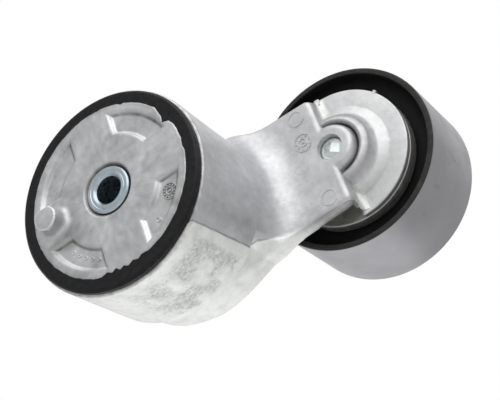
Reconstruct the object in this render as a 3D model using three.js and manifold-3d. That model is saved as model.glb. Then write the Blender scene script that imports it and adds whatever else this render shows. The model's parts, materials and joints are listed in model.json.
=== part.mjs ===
// Belt tensioner idler, millimetres.
// Origin: centre of the mount face on the pivot axis. +Y runs from the mount face into the part,
// +X from the pivot axis to the pulley axis, +Z up. The arm rests on its free-arm stop.
import * as THREE from 'three';
import { mergeVertices } from 'three/addons/utils/BufferGeometryUtils.js';
import Module from 'manifold-3d';

const wasm = await Module();
wasm.setup();

// Driving dimensions
const GAP = 0.3;                 // clearance kept between neighbouring pieces
const CENTRE_DISTANCE = 69.5;    // pivot axis to pulley axis
const ROUND = 36;                // sides of a large turned piece
const FINE = 20;                 // sides of a small turned piece
const CHAMFER = 0.6;             // broken edge of a turned steel piece

const DISC_R = 35.9;
const DISC_THICKNESS = 9;
const RING_R = 40.75;
const RING_FACE_THICKNESS = 2.5;
const RING_SKIRT_R = 37.1;
const RING_SKIRT_END = 10;

const SLEEVE_R = 9.7;
const SLEEVE_BORE_R = 5.6;       // clearance hole for an M10 mounting bolt
const SLEEVE_END = 66.5;
const HUB_TUBE_R = 14;
const HUB_TUBE_END = 63.1;
const THRUST_WASHER_R = 23.5;
const RETAINING_PLATE_R = 24;
const RETAINING_PLATE_THICKNESS = 2;
const HUB_TUBE_BORE_R = SLEEVE_R + GAP;

const RIB_HALF_WIDTH = 9.3;      // ribs left between the four pockets of the disc
const POCKET_INNER_R = 22.5;
const POCKET_OUTER_R = 32.3;
const POCKET_DEPTH = 1.2;
const PIN_X = -25.6;
const PIN_R = 5;
const PIN_HEIGHT = 7;
const PIN_FOOT = 2.4;            // fillet at the foot of the pin
const PLATFORM_Y = 13.4;         // spring platform on the disc's back
const PLATFORM_INNER_R = 23;
const PLATFORM_OUTER_R = 32.5;

const LIP_R = 41.6;
const BARREL_R = 40.7;
const BARREL_END = 42.8;
const SHOULDER_R = 37;
const SHOULDER_Y = 45.6;
const HOUSING_END = 61.3;
const CAVITY_R = 37.4;
const CAVITY_DEEP_R = 32.5;
const CAVITY_END = 56;
const CAVITY_TAPER_START = 43;
const CAVITY_TAPER_END = 47;
const ARM_HUB_R = 20.5;
const ARM_HUB_BORE_R = 16.4;
const ARM_HUB_START = 20;

const PLATE_FACE = 56.7;
const PLATE_EDGE_X = CENTRE_DISTANCE - 0.6;
const PLATE_HALF_WIDTH = 25.4;
const WEB_HALF_WIDTH = 27;
const WEB_START = 58.8;
const FLANGE_R = 29.2;
const FLANGE_FACE = 66.7;
const FLANGE_BACK = 69.2;
const FLANGE_START_X = PLATE_EDGE_X - 0.6;
const END_WALL_THICKNESS = 2;
const CONE_R = 18.8;
const BOSS_R = 9.5;
const SPIGOT_R = 11.5;
const SHIELD_R = 29.2;
const SHIELD_DEPTH = 5.8;
const SHIELD_SHEET = 0.9;

const SPRING_R = 27.8;           // to the middle of the wire
const SPRING_WIRE_R = 3.2;
const SPRING_START = 17;
const SPRING_END = 50;
const SPRING_TURNS = 4.4;
const SPRING_SEAT_Y = 53.7;
const SPRING_SEAT_THICKNESS = 2;

const STOP_INNER_R = 33.2;
const STOP_HALF_ANGLE = 5;       // degrees
const STOP_LUG_END = 18;
const STOP_RIB_END = 30;
const STOP_ANGLE = 150;          // free-arm stop lug, from +X towards +Z
const ARM_TRAVEL = 50;

const PULLEY_R = 39.5;
const PULLEY_NEAR = 68;
const PULLEY_WIDTH = 40;
const PULLEY_MOUTH_R = 36.8;
const PULLEY_WEB_Y = PULLEY_NEAR + 8.5;
const SHEET = 3;
const WEB_FILLET = 6.5;
const BEND = 3.2;
const LIP_INNER_R = 22.3;        // lip that the bearing is pressed up to
const LIP_THICKNESS = 2.2;

const BEARING_Y = PULLEY_NEAR + PULLEY_WIDTH / 2;
const BEARING_HALF_WIDTH = 11.5;
const BEARING_R = 23.5;
const BEARING_BORE_R = 8.5;
const BALL_R = 3.97;
const BALL_PITCH_R = 16;
const BALLS_PER_ROW = 8;
const ROW_OFFSET = 5.6;
const INNER_LAND_R = 12.6;
const OUTER_LAND_R = 19.2;
const CAGE_INNER_R = 14.9;
const CAGE_OUTER_R = 17.1;
const CAGE_RIM = 4.6;            // from the middle of the balls to the cage's solid rim
const CAGE_FINGER = 1.2;         // from the middle of the balls to the ends of its fingers
const SEAL_INNER_R = 12.9;
const SEAL_OUTER_R = 18.9;
const SEAL_RECESS = 0.2;
const SEAL_THICKNESS = 0.8;
const BOLT_R = 5;
const BOLT_TIP = 58.2;
const BOLT_HEAD_HEIGHT = 6.8;
const BOLT_HEX_R = 9.2;          // to the corners
const BOLT_FLANGE_R = 10.5;
const FAR_WASHER_R = 18.5;
const FAR_WASHER_THICKNESS = 1;

// Derived dimensions
const BEARING_NEAR = BEARING_Y - BEARING_HALF_WIDTH;
const BEARING_FAR = BEARING_Y + BEARING_HALF_WIDTH;
const PULLEY_FAR = PULLEY_NEAR + PULLEY_WIDTH;
const HUB_SEAT_R = BEARING_R + GAP;
const HUB_OUTER_R = HUB_SEAT_R + SHEET;
const FAR_WASHER_Y = BEARING_FAR + 0.4;
const HEAD_SEAT = FAR_WASHER_Y + FAR_WASHER_THICKNESS + GAP;
const SPIGOT_END = BEARING_NEAR - GAP;

// Materials
const castAluminium = new THREE.MeshStandardMaterial({ color: 0xb4b6b8, roughness: 0.5, metalness: 0.8 });
const zincSteel = new THREE.MeshStandardMaterial({ color: 0xb9c2c9, roughness: 0.35, metalness: 0.9 });
const blackPolymer = new THREE.MeshStandardMaterial({ color: 0x17181a, roughness: 0.55, metalness: 0 });
const palePolymer = new THREE.MeshStandardMaterial({ color: 0xcfc8b4, roughness: 0.6, metalness: 0 });
const pulleySteel = new THREE.MeshStandardMaterial({ color: 0x76777a, roughness: 0.38, metalness: 0.85 });
const bearingSteel = new THREE.MeshStandardMaterial({ color: 0xc8c9ca, roughness: 0.15, metalness: 1 });
const springSteel = new THREE.MeshStandardMaterial({ color: 0x3a3d42, roughness: 0.4, metalness: 0.8 });

// Shape helpers

function arc(cx, cy, radius, from, to, steps) {
  return Array.from({ length: steps + 1 }, (_, i) => {
    const angle = THREE.MathUtils.degToRad(from + (to - from) * i / steps);
    return [cx + radius * Math.cos(angle), cy + radius * Math.sin(angle)];
  });
}

// Turns a closed (radius, y) outline about the Y axis.
function turned(outline, sides = ROUND) {
  const points = [...outline, outline[0]].map(([r, y]) => new THREE.Vector2(r, y));
  return new THREE.LatheGeometry(points, sides);
}

// Turns an open (radius, y) outline that starts and ends on the axis.
function turnedSolid(outline, sides = ROUND) {
  return new THREE.LatheGeometry(outline.map(([r, y]) => new THREE.Vector2(r, y)), sides);
}

// Extrudes a closed (x, z) outline from y = start to y = end.
function prism(outline, start, end) {
  const shape = new THREE.Shape(outline.map(([x, z]) => new THREE.Vector2(x, z)));
  const geometry = new THREE.ExtrudeGeometry(shape, { depth: end - start, bevelEnabled: false });
  return geometry.rotateX(Math.PI / 2).translate(0, end, 0);
}

function block(x0, x1, y0, y1, z0, z1) {
  const box = new THREE.BoxGeometry(x1 - x0, y1 - y0, z1 - z0);
  return box.translate((x0 + x1) / 2, (y0 + y1) / 2, (z0 + z1) / 2);
}

function washer(innerR, outerR, start, end, sides = FINE) {
  return turned([[innerR, start], [outerR, start], [outerR, end], [innerR, end]], sides);
}

function drill(radius, start, end) {
  return turnedSolid([[0, start], [radius, start], [radius, end], [0, end]], FINE);
}

// A sector of a ring, angles in degrees from +X towards +Z.
function ringSector(innerR, outerR, from, to, start, end) {
  const steps = 4;
  return prism([...arc(0, 0, outerR, from, to, steps), ...arc(0, 0, innerR, to, from, steps)], start, end);
}

// Boolean helpers

function solid(geometry) {
  const bare = geometry.clone();
  bare.deleteAttribute('normal');
  bare.deleteAttribute('uv');
  const merged = mergeVertices(bare, 1e-4);
  const corners = merged.index.array;
  const kept = [];
  for (let i = 0; i < corners.length; i += 3) {
    const [a, b, c] = [corners[i], corners[i + 1], corners[i + 2]];
    if (a !== b && b !== c && c !== a) kept.push(a, b, c);
  }
  return new wasm.Manifold(new wasm.Mesh({
    numProp: 3,
    vertProperties: new Float32Array(merged.attributes.position.array),
    triVerts: new Uint32Array(kept),
  }));
}

function geometryOf(manifold) {
  const { vertProperties, triVerts } = manifold.getMesh();
  const geometry = new THREE.BufferGeometry();
  geometry.setAttribute('position', new THREE.BufferAttribute(vertProperties, 3));
  geometry.setIndex(new THREE.BufferAttribute(triVerts, 1));
  geometry.computeVertexNormals();
  return geometry;
}

function cut(base, ...tools) {
  return tools.reduce((result, tool) => result.subtract(solid(tool)), base);
}

// Fixed side

function pocketOutline() {
  const startAngle = r => THREE.MathUtils.radToDeg(Math.asin(RIB_HALF_WIDTH / r));
  const outer = startAngle(POCKET_OUTER_R);
  const inner = startAngle(POCKET_INNER_R);
  return [
    ...arc(0, 0, POCKET_OUTER_R, outer, 90 - outer, 6),
    ...arc(0, 0, POCKET_INNER_R, 90 - inner, inner, 4),
  ];
}

function stopLug(angle) {
  return ringSector(STOP_INNER_R, DISC_R - 0.1, angle - STOP_HALF_ANGLE, angle + STOP_HALF_ANGLE,
    DISC_THICKNESS - 1, STOP_LUG_END);
}

function basePlate() {
  const body = solid(turned([
    [HUB_TUBE_BORE_R + 1.2, 0], [DISC_R - 0.5, 0], [DISC_R, 0.5], [DISC_R, DISC_THICKNESS],
    [PLATFORM_OUTER_R, DISC_THICKNESS], [PLATFORM_OUTER_R, PLATFORM_Y],
    [PLATFORM_INNER_R, PLATFORM_Y], [PLATFORM_INNER_R, DISC_THICKNESS],
    [HUB_TUBE_R + 3, DISC_THICKNESS], [HUB_TUBE_R, DISC_THICKNESS + 3],
    [HUB_TUBE_R, HUB_TUBE_END], [HUB_TUBE_BORE_R, HUB_TUBE_END], [HUB_TUBE_BORE_R, 1.2],
  ]));
  const pin = turnedSolid([
    [0, 1], [PIN_R + PIN_FOOT, 1], [PIN_R + PIN_FOOT, 0], [PIN_R + 0.6, -0.8], [PIN_R, -2],
    [PIN_R - 0.1, 0.8 - PIN_HEIGHT], [PIN_R - 1, -PIN_HEIGHT], [0, -PIN_HEIGHT],
  ].reverse(), FINE).translate(PIN_X, 0, 0);
  const pockets = [0, 1, 2, 3].map(quarter =>
    prism(pocketOutline(), -1, POCKET_DEPTH).rotateY(-quarter * Math.PI / 2));
  const farStop = STOP_ANGLE - ARM_TRAVEL - 4 * STOP_HALF_ANGLE - 1;
  return cut(body, ...pockets)
    .add(solid(pin))
    .add(solid(stopLug(STOP_ANGLE)))
    .add(solid(stopLug(farStop)));
}

function pivotSleeve() {
  return turned([
    [SLEEVE_BORE_R + CHAMFER, 0], [SLEEVE_R - CHAMFER, 0], [SLEEVE_R, CHAMFER],
    [SLEEVE_R, SLEEVE_END - CHAMFER], [SLEEVE_R - CHAMFER, SLEEVE_END],
    [SLEEVE_BORE_R + CHAMFER, SLEEVE_END], [SLEEVE_BORE_R, SLEEVE_END - CHAMFER],
    [SLEEVE_BORE_R, CHAMFER],
  ], FINE);
}

function frictionRing() {
  const inner = DISC_R + GAP;
  return turned([
    [inner, 0.4], [inner + 0.4, 0], [RING_R - 1.2, 0], [RING_R - 0.3, 0.4], [RING_R, 1.2],
    [RING_R, RING_FACE_THICKNESS], [RING_SKIRT_R, RING_FACE_THICKNESS],
    [RING_SKIRT_R, RING_SKIRT_END], [inner, RING_SKIRT_END],
  ]);
}

// Arm side

function housingOutside() {
  return turnedSolid([
    [0, RING_FACE_THICKNESS + GAP], [LIP_R - 0.4, RING_FACE_THICKNESS + GAP],
    [LIP_R, RING_FACE_THICKNESS + GAP + 0.4], [BARREL_R, BARREL_END], [BARREL_R - 0.9, 44.6],
    [SHOULDER_R + 0.6, 45.1], [SHOULDER_R, SHOULDER_Y], [SHOULDER_R, HOUSING_END - 1.2],
    [SHOULDER_R - 1.2, HOUSING_END], [0, HOUSING_END],
  ]);
}

function housingCavity() {
  return turnedSolid([
    [0, -1], [CAVITY_R, -1], [CAVITY_R - 0.5, CAVITY_TAPER_START],
    [CAVITY_DEEP_R, CAVITY_TAPER_END], [CAVITY_DEEP_R, CAVITY_END],
    [ARM_HUB_R, CAVITY_END], [ARM_HUB_R, ARM_HUB_START], [ARM_HUB_BORE_R, ARM_HUB_START],
    [ARM_HUB_BORE_R, HOUSING_END + 1], [0, HOUSING_END + 1],
  ]);
}

// The hollow curve that leads the barrel wall into the flat face of the plate.
function saddle() {
  return turnedSolid([
    [0, 36], [41.2, 36], [41.7, 40], [42.8, 45], [45.2, 50], [49.6, 54.4], [55, PLATE_FACE],
    [80, PLATE_FACE], [80, HOUSING_END], [0, HOUSING_END],
  ]);
}

function plateOutline(halfWidth) {
  const edge = new THREE.QuadraticBezierCurve(
    new THREE.Vector2(22, halfWidth + 4), new THREE.Vector2(31, halfWidth + 1),
    new THREE.Vector2(46, halfWidth + 0.8));
  const upper = edge.getPoints(5).map(point => [point.x, point.y]);
  upper.push([PLATE_EDGE_X - 2, halfWidth], [PLATE_EDGE_X - 0.6, halfWidth - 0.6],
    [PLATE_EDGE_X, halfWidth - 2]);
  const lower = upper.map(([x, z]) => [x, -z]).reverse();
  return [...upper, ...lower].reverse();
}

// Hub boss, trough, ridge, hollow slope and flange, turned about the pulley axis.
function steppedHub() {
  return turnedSolid([
    [0, PLATE_FACE], [BOSS_R, PLATE_FACE], [10.2, 62.9], [11.3, 62.9], [11.8, 59.4],
    [12.6, 59], [14, 59.3], [16.4, 61.8], [CONE_R, 65.3], [20.5, FLANGE_FACE],
    [FLANGE_R - 0.5, FLANGE_FACE], [FLANGE_R, FLANGE_FACE + 0.5], [FLANGE_R, FLANGE_BACK],
    [SPIGOT_R, FLANGE_BACK], [SPIGOT_R, SPIGOT_END], [0, SPIGOT_END],
  ]).translate(CENTRE_DISTANCE, 0, 0);
}

function innerHub() {
  return turnedSolid([
    [0, PLATE_FACE], [BOSS_R, PLATE_FACE], [CONE_R, HOUSING_END - 1], [CONE_R, FLANGE_BACK],
    [SPIGOT_R, FLANGE_BACK], [SPIGOT_R, SPIGOT_END], [0, SPIGOT_END],
  ]).translate(CENTRE_DISTANCE, 0, 0);
}

function armHousing() {
  const neck = solid(prism(plateOutline(PLATE_HALF_WIDTH), 36, WEB_START + 0.1))
    .add(solid(prism(plateOutline(WEB_HALF_WIDTH), WEB_START, HOUSING_END)))
    .intersect(solid(saddle()));
  const behindPlate = block(20, FLANGE_START_X, 50, 90, -45, 45);
  const endWall = block(PLATE_EDGE_X - END_WALL_THICKNESS, PLATE_EDGE_X, WEB_START, FLANGE_FACE + 0.5,
    -PLATE_HALF_WIDTH + 0.8, PLATE_HALF_WIDTH - 0.8);
  const outerHalf = cut(solid(steppedHub()), behindPlate);
  const innerHalf = solid(innerHub()).intersect(solid(behindPlate));
  const blank = solid(housingOutside()).add(neck).add(outerHalf).add(innerHalf).add(solid(endWall));
  const boltHole = drill(BOLT_R + GAP, 50, 80).translate(CENTRE_DISTANCE, 0, 0);
  const armStop = STOP_ANGLE - 2 * STOP_HALF_ANGLE - 0.5;
  const stopRib = ringSector(STOP_INNER_R, CAVITY_R + 1, armStop - STOP_HALF_ANGLE,
    armStop + STOP_HALF_ANGLE, RING_SKIRT_END + 0.5, STOP_RIB_END);
  return cut(blank, housingCavity(), boltHole).add(solid(stopRib));
}

function pivotBushing() {
  const inner = HUB_TUBE_R + GAP;
  const outer = ARM_HUB_BORE_R - GAP;
  const flangeEnd = ARM_HUB_START - GAP;
  return turned([
    [inner, flangeEnd - 1.5], [ARM_HUB_R, flangeEnd - 1.5], [ARM_HUB_R, flangeEnd],
    [outer, flangeEnd], [outer, HOUSING_END], [inner, HOUSING_END],
  ], FINE);
}

class Helix extends THREE.Curve {
  getPoint(t, target = new THREE.Vector3()) {
    const angle = t * SPRING_TURNS * 2 * Math.PI;
    const y = SPRING_START + (SPRING_END - SPRING_START) * t;
    return target.set(SPRING_R * Math.cos(angle), y, SPRING_R * Math.sin(angle));
  }
}

function torsionSpring() {
  const section = new THREE.Shape(
    arc(0, 0, SPRING_WIRE_R, 0, 315, 7).map(([x, y]) => new THREE.Vector2(x, y)));
  return new THREE.ExtrudeGeometry(section, { steps: 66, extrudePath: new Helix(), bevelEnabled: false });
}

function dustShield() {
  const start = FLANGE_BACK + GAP;
  return turned([
    [SPIGOT_R + GAP, start], [SHIELD_R - 0.5, start], [SHIELD_R, start + 0.5],
    [SHIELD_R, start + SHIELD_DEPTH], [SHIELD_R - SHIELD_SHEET, start + SHIELD_DEPTH],
    [SHIELD_R - SHIELD_SHEET, start + SHIELD_SHEET], [SPIGOT_R + GAP, start + SHIELD_SHEET],
  ]);
}

function pulleyBolt() {
  const hexagon = arc(0, 0, BOLT_HEX_R, 0, 300, 5);
  const shank = solid(turnedSolid([
    [0, BOLT_TIP], [BOLT_R - 1, BOLT_TIP], [BOLT_R, BOLT_TIP + 1], [BOLT_R, HEAD_SEAT],
    [BOLT_FLANGE_R, HEAD_SEAT], [BOLT_FLANGE_R, HEAD_SEAT + 1.2], [BOLT_HEX_R - 0.2, HEAD_SEAT + 2.2],
    [0, HEAD_SEAT + 2.2],
  ], FINE));
  return shank.add(solid(prism(hexagon, HEAD_SEAT + 1.5, HEAD_SEAT + BOLT_HEAD_HEIGHT)));
}

// Pulley and bearing

function pulleyRim() {
  const edge = 0.8;
  return turned([
    [PULLEY_MOUTH_R, PULLEY_NEAR + 0.3], [PULLEY_MOUTH_R + 0.3, PULLEY_NEAR],
    [PULLEY_R - edge, PULLEY_NEAR], [PULLEY_R, PULLEY_NEAR + edge],
    [PULLEY_R, PULLEY_FAR - edge], [PULLEY_R - edge, PULLEY_FAR], [PULLEY_MOUTH_R, PULLEY_FAR],
  ]);
}

// The web and bearing seat that are pressed into the rim.
function pulleyWeb() {
  const outer = PULLEY_MOUTH_R - GAP;
  const back = PULLEY_WEB_Y + SHEET;
  const farLip = BEARING_FAR + GAP;
  return turned([
    ...arc(outer - BEND, back + BEND, BEND, 0, -90, 2),
    ...arc(HUB_OUTER_R + BEND, back + BEND, BEND, -90, -180, 2),
    [HUB_OUTER_R, farLip + LIP_THICKNESS], [LIP_INNER_R, farLip + LIP_THICKNESS], [LIP_INNER_R, farLip],
    [HUB_SEAT_R, farLip], [HUB_SEAT_R, PULLEY_WEB_Y],
    ...arc(outer - WEB_FILLET, PULLEY_WEB_Y - WEB_FILLET, WEB_FILLET, 90, 0, 3),
  ]);
}

// The groove that one row of balls runs in, cut into a land of the given radius.
function raceway(side, landR) {
  const grooveR = BALL_R + GAP;
  const reach = landR - BALL_PITCH_R;
  const half = Math.sqrt(grooveR ** 2 - reach ** 2);
  const steps = 3;
  return Array.from({ length: steps + 1 }, (_, i) => {
    const y = -half + 2 * half * i / steps;
    const depth = Math.sign(reach) * Math.sqrt(grooveR ** 2 - y ** 2);
    return [BALL_PITCH_R + depth, BEARING_Y + side * ROW_OFFSET + y];
  });
}

function innerRing() {
  return turned([
    [BEARING_BORE_R, BEARING_NEAR], [INNER_LAND_R, BEARING_NEAR],
    ...raceway(-1, INNER_LAND_R), ...raceway(1, INNER_LAND_R),
    [INNER_LAND_R, BEARING_FAR], [BEARING_BORE_R, BEARING_FAR],
  ]);
}

function outerRing() {
  return turned([
    [OUTER_LAND_R, BEARING_NEAR], [BEARING_R, BEARING_NEAR], [BEARING_R, BEARING_FAR],
    [OUTER_LAND_R, BEARING_FAR],
    ...raceway(1, OUTER_LAND_R).reverse(), ...raceway(-1, OUTER_LAND_R).reverse(),
  ]);
}

function seal(start) {
  return washer(SEAL_INNER_R, SEAL_OUTER_R, start, start + SEAL_THICKNESS);
}

function ballCentre(side, index) {
  const angle = (index + (side > 0 ? 0.5 : 0)) * 2 * Math.PI / BALLS_PER_ROW;
  return new THREE.Vector3(BALL_PITCH_R * Math.cos(angle), BEARING_Y + side * ROW_OFFSET,
    BALL_PITCH_R * Math.sin(angle));
}

// A crown cage: its solid rim faces outwards, its fingers point to the middle of the bearing.
function cage(side) {
  const row = BEARING_Y + side * ROW_OFFSET;
  const [start, end] = side > 0 ? [row - CAGE_FINGER, row + CAGE_RIM] : [row - CAGE_RIM, row + CAGE_FINGER];
  const pockets = Array.from({ length: BALLS_PER_ROW }, (_, index) =>
    new THREE.IcosahedronGeometry(BALL_R + GAP, 1).translate(...ballCentre(side, index).toArray()));
  return cut(solid(washer(CAGE_INNER_R, CAGE_OUTER_R, start, end)), ...pockets);
}

// Assembly

const tensioner = new THREE.Group();
const pulleyAxis = new THREE.Group();
pulleyAxis.position.x = CENTRE_DISTANCE;
tensioner.add(pulleyAxis);

function place(parent, name, shape, material, position) {
  const geometry = shape.isBufferGeometry ? shape : geometryOf(shape);
  const mesh = new THREE.Mesh(geometry, material);
  mesh.name = name;
  if (position) mesh.position.copy(position);
  parent.add(mesh);
}

place(tensioner, 'base_plate', basePlate(), castAluminium);
place(tensioner, 'pivot_sleeve', pivotSleeve(), zincSteel);
place(tensioner, 'friction_ring', frictionRing(), blackPolymer);
place(tensioner, 'thrust_washer',
  washer(HUB_TUBE_R + 0.4, THRUST_WASHER_R, HOUSING_END + GAP, HUB_TUBE_END), palePolymer);
place(tensioner, 'retaining_plate',
  washer(HUB_TUBE_BORE_R, RETAINING_PLATE_R, HUB_TUBE_END + GAP, HUB_TUBE_END + GAP + RETAINING_PLATE_THICKNESS),
  zincSteel);

place(tensioner, 'arm_housing', armHousing(), castAluminium);
place(tensioner, 'pivot_bushing', pivotBushing(), palePolymer);
place(tensioner, 'spring_seat',
  washer(ARM_HUB_R + 0.5, CAVITY_DEEP_R - GAP, SPRING_SEAT_Y, SPRING_SEAT_Y + SPRING_SEAT_THICKNESS, ROUND),
  blackPolymer);
place(tensioner, 'torsion_spring', torsionSpring(), springSteel);

place(pulleyAxis, 'dust_shield', dustShield(), zincSteel);
place(pulleyAxis, 'bearing_bush',
  washer(BOLT_R + GAP, BEARING_BORE_R - GAP, BEARING_NEAR, BEARING_FAR), zincSteel);
place(pulleyAxis, 'inner_ring', innerRing(), bearingSteel);
place(pulleyAxis, 'far_dust_washer',
  washer(BOLT_R + 0.4, FAR_WASHER_R, FAR_WASHER_Y, FAR_WASHER_Y + FAR_WASHER_THICKNESS), zincSteel);
place(pulleyAxis, 'pulley_bolt', pulleyBolt(), zincSteel);

place(pulleyAxis, 'pulley_rim', pulleyRim(), pulleySteel);
place(pulleyAxis, 'pulley_web', pulleyWeb(), pulleySteel);
place(pulleyAxis, 'outer_ring', outerRing(), bearingSteel);
place(pulleyAxis, 'seal_near', seal(BEARING_NEAR + SEAL_RECESS), blackPolymer);
place(pulleyAxis, 'seal_far', seal(BEARING_FAR - SEAL_RECESS - SEAL_THICKNESS), blackPolymer);

for (const [row, side] of [['near', -1], ['far', 1]]) {
  place(pulleyAxis, `cage_${row}`, cage(side), palePolymer);
  for (let index = 0; index < BALLS_PER_ROW; index += 1) {
    const ball = new THREE.IcosahedronGeometry(BALL_R, 1);
    place(pulleyAxis, `ball_${row}_${index + 1}`, ball, bearingSteel, ballCentre(side, index));
  }
}

export default tensioner;
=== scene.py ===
"""Belt tensioner idler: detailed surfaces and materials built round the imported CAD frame.

Shapes are worked out in millimetres, on the frame's axes, and turned into metres when a mesh is made.
+Y runs from the mount face into the part, +X from the pivot axis to the pulley axis.
"""
import json
import math

import bmesh
import bpy
import numpy as np
from mathutils import Matrix, Vector


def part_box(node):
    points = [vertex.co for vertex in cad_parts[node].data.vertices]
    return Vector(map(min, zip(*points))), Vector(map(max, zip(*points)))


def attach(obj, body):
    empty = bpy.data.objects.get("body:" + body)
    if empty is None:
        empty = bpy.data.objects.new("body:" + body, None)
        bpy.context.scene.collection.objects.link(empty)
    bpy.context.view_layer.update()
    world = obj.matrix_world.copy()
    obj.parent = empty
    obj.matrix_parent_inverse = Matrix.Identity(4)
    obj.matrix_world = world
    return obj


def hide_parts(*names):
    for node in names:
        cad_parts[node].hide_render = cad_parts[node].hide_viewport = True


MM = 0.001
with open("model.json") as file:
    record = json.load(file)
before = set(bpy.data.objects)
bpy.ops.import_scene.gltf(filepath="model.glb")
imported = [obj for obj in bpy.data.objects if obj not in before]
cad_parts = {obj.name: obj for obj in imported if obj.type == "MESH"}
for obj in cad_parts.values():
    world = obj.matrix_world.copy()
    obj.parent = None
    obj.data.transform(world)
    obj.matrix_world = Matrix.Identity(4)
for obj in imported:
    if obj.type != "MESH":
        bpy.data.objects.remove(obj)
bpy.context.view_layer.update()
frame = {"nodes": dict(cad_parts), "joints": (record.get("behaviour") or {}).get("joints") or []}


def span(node):
    """Lowest and highest corner of a CAD node, in millimetres."""
    low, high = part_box(node)
    return low / MM, high / MM


# Sizes read from the frame
PULLEY_X = next(j for j in frame["joints"] if j["name"] == "pulley_spin")["pos_m"][0] / MM
RING_R = span("friction_ring")[1].x
DISC_R = span("base_plate")[1].x
LIP_R = span("arm_housing")[1].z
SLEEVE_R, SLEEVE_END, _ = span("pivot_sleeve")[1]
PULLEY_LOW, PULLEY_HIGH = span("pulley_rim")
BEARING_LOW, BEARING_HIGH = span("outer_ring")
SHIELD_LOW, SHIELD_HIGH = span("dust_shield")
BOLT_LOW, BOLT_HIGH = span("pulley_bolt")
PULLEY_R, BEARING_R, SHIELD_R = PULLEY_HIGH.z, BEARING_HIGH.z, SHIELD_HIGH.z

# Details of the castings, as built in the CAD
BARREL_R, BARREL_END = 40.7, 42.8
SHOULDER_R, SHOULDER_Y = 37.0, 45.6
HOUSING_END = 61.3
PLATE_FACE, PLATE_HALF_WIDTH, PLATE_EDGE_X = 56.7, 25.4, PULLEY_X - 0.6
FLANGE_FACE, FLANGE_BACK, FLANGE_R = 66.7, 69.2, 29.2
FLANGE_START_X = PLATE_EDGE_X - 0.6
INNER_HUB_R, BOSS_R, SPIGOT_R, SPIGOT_END = 18.8, 9.6, 11.5, BEARING_LOW.y - 0.3
BOLT_HOLE_R = 5.3
CAVITY_R, CAVITY_DEEP_R, CAVITY_END = 37.4, 32.5, 56.0
ARM_HUB_R, ARM_HUB_BORE_R, ARM_HUB_START = 20.5, 16.4, 20.0
DISC_THICKNESS, PLATFORM_INNER_R, PLATFORM_R, PLATFORM_HEIGHT = 9.0, 23.0, 32.5, 13.4
HUB_TUBE_R, HUB_TUBE_END, HUB_FOOT_R = 14.0, 63.1, 17.0
PIN_X, PIN_R, PIN_HEIGHT = -25.6, 5.0, 7.0
RIB_HALF_WIDTH, POCKET_INNER_R, POCKET_OUTER_R, POCKET_DEPTH = 9.3, 22.5, 32.3, 1.5
RING_SKIRT_R, RING_SKIRT_END = 37.1, 10.0
STOP_INNER_R, STOP_HALF_ANGLE = 33.2, 5
LUG_ANGLES, LUG_START, LUG_END = (150, 79), 8.0, 18.0
STOP_RIB_ANGLE, STOP_RIB_START, STOP_RIB_END = 139.5, 10.5, 30.0
DIAL_X, DIAL_Z, DIAL_R = 23.7, -16.1, 3.2

# Details of the double-row bearing
BEARING_BORE_R, INNER_LAND_R, OUTER_LAND_R = 8.5, 12.6, 19.2
BALL_PITCH_R, BALL_ROW_OFFSET, GROOVE_R, BALLS_IN_ROW = 16.0, 5.6, 4.2, 8


# ---- outlines

def rounded(corners, steps=5):
    """A closed outline whose corners (a, b, radius) are rounded."""
    outline = []
    for i, (a, b, radius) in enumerate(corners):
        corner = Vector((a, b))
        back = Vector(corners[i - 1][:2]) - corner
        ahead = Vector(corners[(i + 1) % len(corners)][:2]) - corner
        if radius <= 0:
            outline.append((a, b))
            continue
        half = back.angle(ahead) / 2
        cut = min(radius / math.tan(half), 0.49 * back.length, 0.49 * ahead.length)
        centre = corner + (back.normalized() + ahead.normalized()).normalized() * (cut / math.cos(half))
        start = corner + back.normalized() * cut - centre
        end = corner + ahead.normalized() * cut - centre
        sweep = math.pi - 2 * half
        for s in range(steps + 1):
            t = s / steps
            point = (start * math.sin((1 - t) * sweep) + end * math.sin(t * sweep)) / math.sin(sweep)
            outline.append(tuple(centre + point))
    return outline


def arc(radius, start, end, steps, centre=(0.0, 0.0)):
    """Points on an arc, angles in degrees."""
    angles = np.radians(np.linspace(start, end, steps + 1))
    return [(centre[0] + radius * math.cos(a), centre[1] + radius * math.sin(a)) for a in angles]


# ---- mesh makers

def add_object(name, data):
    piece = bpy.data.objects.new(name, data)
    bpy.context.scene.collection.objects.link(piece)
    return piece


def new_object(name, vertices, faces, sharp_deg=35):
    """A smooth-shaded mesh object from points in millimetres."""
    mesh = bpy.data.meshes.new(name)
    mesh.from_pydata((np.asarray(vertices, float) * MM).tolist(), [], faces)
    mesh.validate()
    mesh.polygons.foreach_set("use_smooth", [True] * len(mesh.polygons))
    mesh.set_sharp_from_angle(angle=math.radians(sharp_deg))
    return add_object(name, mesh)


def face_outwards(piece):
    bm = bmesh.new()
    bm.from_mesh(piece.data)
    bmesh.ops.recalc_face_normals(bm, faces=bm.faces)
    bm.to_mesh(piece.data)
    bm.free()
    return piece


def tube_faces(rings, count):
    """Quads of a closed ring of closed sections of count points each."""
    faces = []
    for i in range(rings):
        here, there = i * count, (i + 1) % rings * count
        for j in range(count):
            k = (j + 1) % count
            faces.append((here + j, there + j, there + k, here + k))
    return faces


def turned(name, outline, centre_x=0.0, sides=144):
    """Turns a closed (radius, y) outline about the axis through centre_x."""
    radius, height = np.asarray(outline, float).T
    rows = [np.stack([centre_x + radius * math.cos(angle), height, radius * math.sin(angle)], 1)
            for angle in np.arange(sides) * 2 * math.pi / sides]
    return face_outwards(new_object(name, np.concatenate(rows), tube_faces(sides, len(outline))))


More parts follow.
